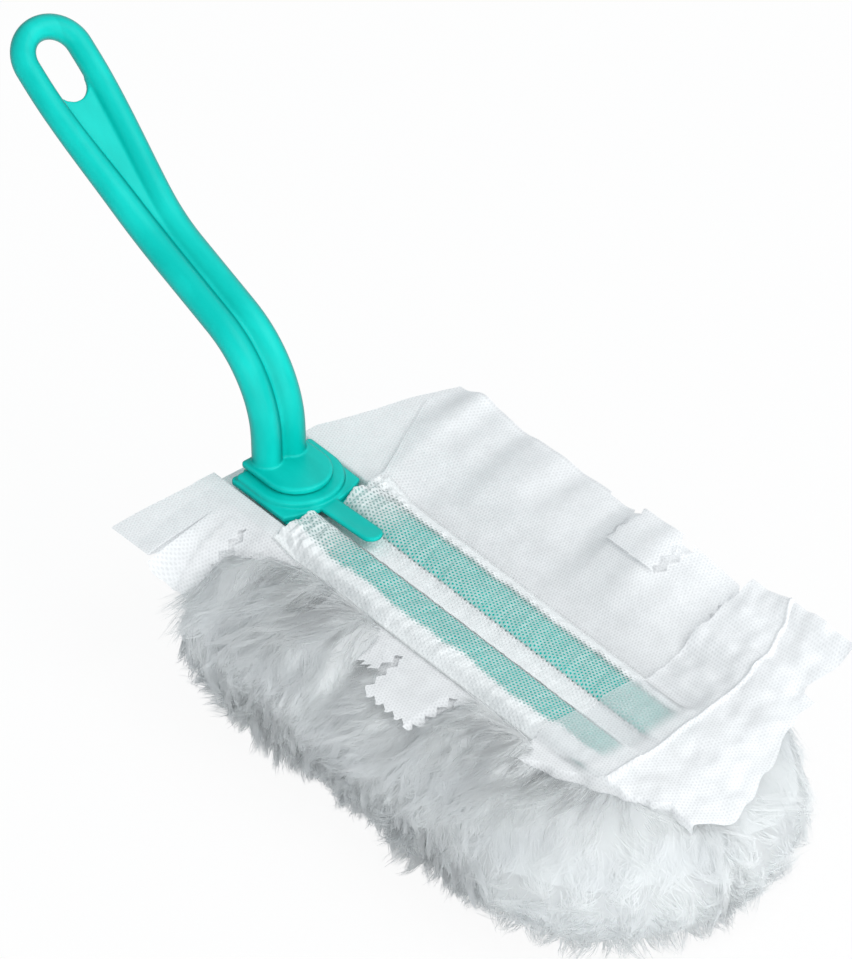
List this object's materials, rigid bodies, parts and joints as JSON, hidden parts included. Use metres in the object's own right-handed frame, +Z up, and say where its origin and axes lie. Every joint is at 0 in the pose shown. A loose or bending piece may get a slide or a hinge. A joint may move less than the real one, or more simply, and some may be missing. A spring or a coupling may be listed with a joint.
{
  "type": "duster",
  "caption": "Hand duster with a looped two-rail handle, a flat two-pronged fork and a fluffy layered refill pad that slides onto the prongs.",
  "frame": {"origin": "centre of the footprint, level with the flat-cut ends of the lowest tufts, which the duster stands on", "axes": "+X from the handle to the pad's far tip, +Y across the pad, +Z up, out of the side that the handle rises from"},
  "size_m": [0.3126, 0.1202, 0.1451],
  "materials": {
    "handle_plastic": "semi-gloss moulded teal plastic",
    "fork_plastic": "semi-gloss moulded teal plastic",
    "sleeve_nonwoven": "white nonwoven with a lattice of fine holes, thin enough for the prongs to show through",
    "sheet_nonwoven": "white point-bonded nonwoven, slightly see-through",
    "tow_fibre": "white loose fibre tufts"
  },
  "bodies": {
    "fork": {"fork": "fork_plastic"},
    "handle": {"handle": "handle_plastic"},
    "pad": {"sleeve_sheet": "sleeve_nonwoven", "cover_sheet": "sheet_nonwoven", "strip_sheet": "sheet_nonwoven", "end_sheet": "sheet_nonwoven", "tow_upper": "tow_fibre", "tow_second": "tow_fibre", "tow_third": "tow_fibre", "tow_lowest": "tow_fibre"}
  },
  "joints": [
    {"name": "pad_slide", "type": "slide", "parent": "fork", "child": "pad", "axis": [1, 0, 0], "range_m": [0, 0.15]},
    {"name": "handle_slide", "type": "slide", "parent": "fork", "child": "handle", "axis": [-1, 0, 0], "range_m": [0, 0.03]}
  ]
}
